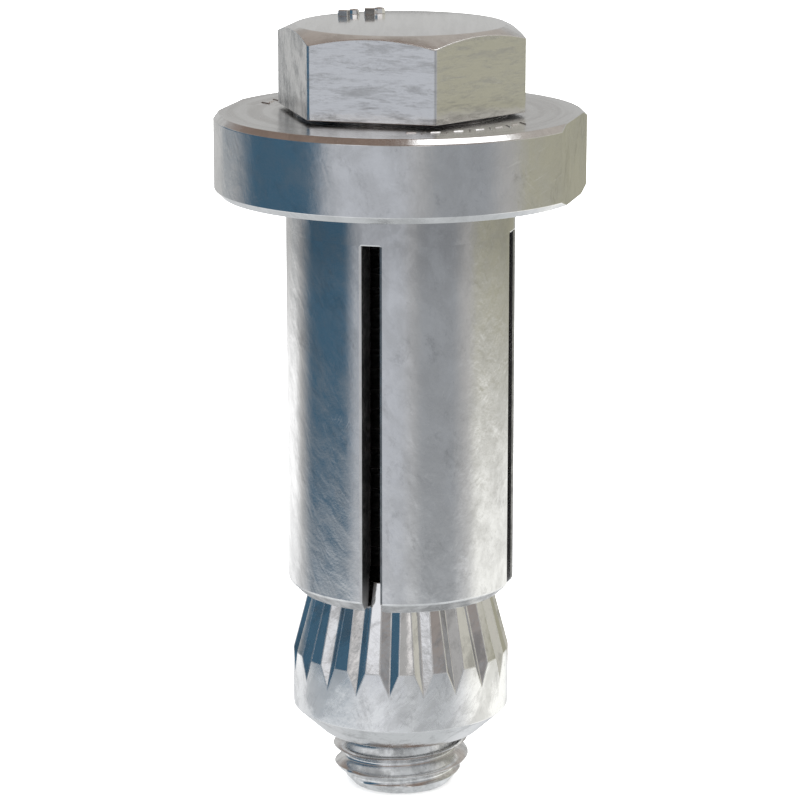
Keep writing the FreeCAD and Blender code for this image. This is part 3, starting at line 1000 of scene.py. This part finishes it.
def buildCone():
    taper = (cone["rimRadius"] - cone["noseRadius"]) / (cone["nose"] - cone["taperEnd"])
    drop = cone["grooveDepth"] * math.hypot(1.0, taper)  # measured square to the axis
    runOut = cone["taperEnd"] - drop / taper
    flank = cone["grooveWidth"] / 2 / drop
    halfSector = math.pi / cone["grooves"]

    def groovedRow(radius, valley, height):
        # the groove's flank leaves the valley line and meets the circle of this radius
        a = 1 + flank * flank
        b = -2 * flank * flank * valley
        c = flank * flank * valley * valley - radius * radius
        reach = (-b + math.sqrt(b * b - 4 * a * c)) / (2 * a)
        edge = math.atan2(flank * (reach - valley), reach)
        land = [edge + (2 * halfSector - 2 * edge) * step / cone["landSteps"]
                for step in range(cone["landSteps"] + 1)]
        row = [polar(valley, 0.0, height)]
        row += [polar(radius, a, height) for a in land]
        row.append(polar(valley, 2 * halfSector, height))
        return row

    def plainRow(radius, height):
        land = [2 * halfSector * step / cone["landSteps"] for step in range(cone["landSteps"] + 1)]
        return [polar(radius, a, height) for a in [0.0, *land, 2 * halfSector]]

    chamfer = cone["boreChamfer"]
    rows = [
        groovedRow(cone["noseRadius"], cone["noseRadius"] - drop, cone["nose"]),
        groovedRow(cone["rimRadius"], cone["rimRadius"] - drop, cone["taperEnd"]),
        plainRow(cone["rimRadius"], runOut),
        plainRow(cone["rimRadius"], cone["rimEnd"]),
        plainRow(cone["endRadius"], cone["end"]),
        plainRow(cone["bore"] + chamfer, cone["end"]),
        plainRow(cone["bore"], cone["end"] + chamfer),
        plainRow(cone["bore"], cone["nose"] - chamfer),
        plainRow(cone["bore"] + chamfer, cone["nose"]),
    ]
    start = Matrix.Rotation(math.radians(cone["firstGroove"]), 4, "Z")
    rows = [[start @ point for point in row] for row in rows]
    form = lattice(rows, closeRows=True)
    tidyMesh(form)
    sector = bpy.data.meshes.new("coneSector")
    form.to_mesh(sector)
    form.free()
    values = {"Count": cone["grooves"], "Weld Distance": cone["weld"] * mm, "Material": zinc["zincOnCone"]}
    mesh = grown("cone", buildSectorTree(), values, seed=sector)
    form = bmesh.new()
    form.from_mesh(mesh)
    tidyMesh(form)
    paint(form, 2, lambda middle, normal: abs(normal.z) < cone["upright"]
          and fromAxis(middle) > cone["rimRadius"] - cone["rimDepth"])
    # the broken edges get the worn edge finish with its painted glint
    breakEdges(form, cone["edgeBreak"], steeper(12), slot=1)
    finish = ["zincOnCone", "wornEdgeAndGlint", "frostedRim"]
    return toObject(form, "cone", finish, crease=5.0)


# pieces on their bodies
for piece in (buildHead(), buildMarks(), buildShank()):
    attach(piece, "set_screw")
    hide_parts("set_screw")
print("screw made")

for piece in (buildCollar(), buildTicks()):
    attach(piece, "collar_sleeve")
    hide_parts("collar_sleeve")

for number in range(4):
    turn = number * math.pi / 2
    legPiece = buildLeg(f"sleeve_leg_{number + 1}", turn)
    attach(legPiece, "collar_sleeve")
    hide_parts("collar_sleeve")
    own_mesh(legPiece)
print("collar and sleeve made")

conePiece = buildCone()
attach(conePiece, "expansion_cone")
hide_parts("expansion_cone")
print("cone made")

# floor, studio light and camera
studio = {
    "cameraAzimuth": 15.0,
    "cameraDistance": 285.324,
    "cameraHeight": 49.542,
    "cameraLeft": 0.0635,
    "cameraPitch": 13.387,
    "focalPixels": 3369.4,
    "imagePixels": 800,
    "sensor": 36.0,
    "clip": (0.01, 20.0),  # metres
    "floorHalf": 3.0,
    "floorLevel": -53.02,
    "floorTone": 0.92,
    "floorRoughness": 0.9,
    "domeStrength": 3.0,
    "roomStrength": 1.25,
    "wallTone": colour(158, 157, 156),
}

# what stands round the bolt and is mirrored in it: where a card's middle stands, by the angle from the
# camera (negative to its left, 180 behind the bolt) and the angle above the horizon, how far it reaches
# to each side and how soft its edges are, all in degrees, and its tone
cards = {
    "ceiling": ((0, 90), (180, 55), (10, 22), (120, 105, 96)),
    "ceilingRight": ((140, 38), (46, 13), (28, 10), (164, 158, 152)),
    "backWall": ((180, 2), (42, 12), (22, 9), (178, 178, 177)),
    "floorGlow": ((0, -60), (180, 41), (10, 5), (210, 212, 214)),
    "floorFront": ((26, -30), (26, 11), (14, 1.5), (180, 183, 185)),
    "floorLeft": ((-155, -40), (25, 17), (25, 8), (190, 192, 194)),
    "floorMiddle": ((0, -90), (180, 32), (10, 20), (180, 183, 185)),
    "blueScreen": ((-77.7, -4), (21.7, 10.8), (22, 4.8), (54, 82, 102)),
    "blueScreenHigh": ((-94, 4), (42, 8.5), (10, 8), (60, 88, 108)),
    "backCardLeft": ((-152, -14.35), (16, 0.95), (18, 2.6), (250, 250, 250)),
    "frontCard": ((-20, -10), (16, 6), (24, 4), (169, 172, 178)),
    "frontGlow": ((13, 13), (2.5, 4), (4.5, 3), (238, 234, 232)),
    "frontStrip": ((-29.5, 12), (7.5, 4), (6, 3), (218, 219, 223)),
    "shadePanel": ((38, -2), (14, 14), (18, 4), (138, 141, 145)),
    "shadeHigh": ((42, 11), (10, 3), (8, 4), (138, 131, 127)),
    "warmWall": ((119, -7), (35, 4), (13, 5), (149, 147, 131)),
    "wallRight": ((100, 6), (30, 5), (12, 8), (182, 180, 171)),
    "rightGlow": ((116, -26.5), (28, 10.5), (22, 4.4), (238, 238, 234)),
}
softbox = {"azimuth": 86.0, "rise": 67.0, "radius": 17.5, "soft": 3.0, "tone": (1.5, 1.5, 1.5, 1.0)}


def buildFloor():
    half, level = studio["floorHalf"], studio["floorLevel"] * mm
    mesh = bpy.data.meshes.new("floor")
    corners = [(-half, -half, level), (half, -half, level), (half, half, level), (-half, half, level)]
    mesh.from_pydata(corners, [], [(0, 1, 2, 3)])
    material = bpy.data.materials.new("paleFloor")
    material.use_nodes = True
    shader = material.node_tree.nodes["Principled BSDF"]
    shader.inputs["Base Color"].default_value = grey(studio["floorTone"])
    shader.inputs["Roughness"].default_value = studio["floorRoughness"]
    mesh.materials.append(material)
    floor = newObject("floor", mesh)
    floor.visible_glossy = False


def band(tree, distance, reach, soft):  # 1 within reach, fading to 0 over the soft edge
    return remap(tree, distance, reach + soft, reach)


def buildWorld():
    world = bpy.data.worlds.new("studio")
    bpy.context.scene.world = world
    world.use_nodes = True
    tree = world.node_tree
    tree.nodes.clear()
    direction = addNode(tree, "ShaderNodeTexCoord").outputs["Generated"]
    turned = addNode(
        tree, "ShaderNodeVectorRotate",
        {"Vector": direction, "Angle": -math.radians(studio["cameraAzimuth"])}, rotation_type="Z_AXIS",
    ).outputs[0]
    split = separate(tree, turned)
    inDegrees = 180 / math.pi
    azimuth = calc(tree, "ARCTAN2", split["X"], calc(tree, "MULTIPLY", split["Y"], -1.0))
    azimuth = calc(tree, "MULTIPLY", azimuth, inDegrees)
    rise = calc(tree, "MULTIPLY", calc(tree, "ARCSINE", split["Z"]), inDegrees)
    room = studio["wallTone"]
    for at, reach, soft, tone in cards.values():
        aside = calc(tree, "WRAP", calc(tree, "SUBTRACT", azimuth, at[0]), 180.0, -180.0)
        above = calc(tree, "SUBTRACT", rise, at[1])
        sideways = band(tree, calc(tree, "ABSOLUTE", aside), reach[0], soft[0])
        upright = band(tree, calc(tree, "ABSOLUTE", above), reach[1], soft[1])
        room = mixColour(tree, calc(tree, "MULTIPLY", sideways, upright), room, colour(*tone))
    # the softbox overhead is round
    side, up = math.radians(softbox["azimuth"]), math.radians(softbox["rise"])
    aim = (math.sin(side) * math.cos(up), -math.cos(side) * math.cos(up), math.sin(up))
    facing = addNode(tree, "ShaderNodeVectorMath", {0: turned, 1: aim}, operation="DOT_PRODUCT")
    apart = calc(tree, "MULTIPLY", calc(tree, "ARCCOSINE", facing.outputs["Value"]), inDegrees)
    room = mixColour(tree, band(tree, apart, softbox["radius"], softbox["soft"]), room, softbox["tone"])
    reflected = addNode(tree, "ShaderNodeBackground", {"Color": room, "Strength": studio["roomStrength"]})
    dome = addNode(
        tree, "ShaderNodeBackground", {"Color": (1.0, 1.0, 1.0, 1.0), "Strength": studio["domeStrength"]}
    )
    isGlossy = addNode(tree, "ShaderNodeLightPath").outputs["Is Glossy Ray"]
    both = addNode(tree, "ShaderNodeMixShader", {0: isGlossy, 1: dome.outputs[0], 2: reflected.outputs[0]})
    output = addNode(tree, "ShaderNodeOutputWorld")
    tree.links.new(both.outputs[0], output.inputs["Surface"])
    world.cycles.sampling_method = "NONE"


def buildCamera():
    azimuth = math.radians(studio["cameraAzimuth"])
    data = bpy.data.cameras.new("camera")
    data.sensor_width = studio["sensor"]
    data.lens = studio["sensor"] * studio["focalPixels"] / studio["imagePixels"]
    data.clip_start, data.clip_end = studio["clip"]
    camera = newObject("camera", data)
    right = Vector((math.cos(azimuth), math.sin(azimuth), 0))
    toCamera = Vector((math.sin(azimuth), -math.cos(azimuth), 0))
    place = toCamera * studio["cameraDistance"] - right * studio["cameraLeft"]
    camera.location = (place + Vector((0, 0, studio["cameraHeight"]))) * mm
    camera.rotation_euler = (math.radians(90 - studio["cameraPitch"]), 0, azimuth)
    bpy.context.scene.camera = camera


buildFloor()
buildWorld()
buildCamera()
bpy.context.scene.view_settings.view_transform = "Standard"
print("stage made")
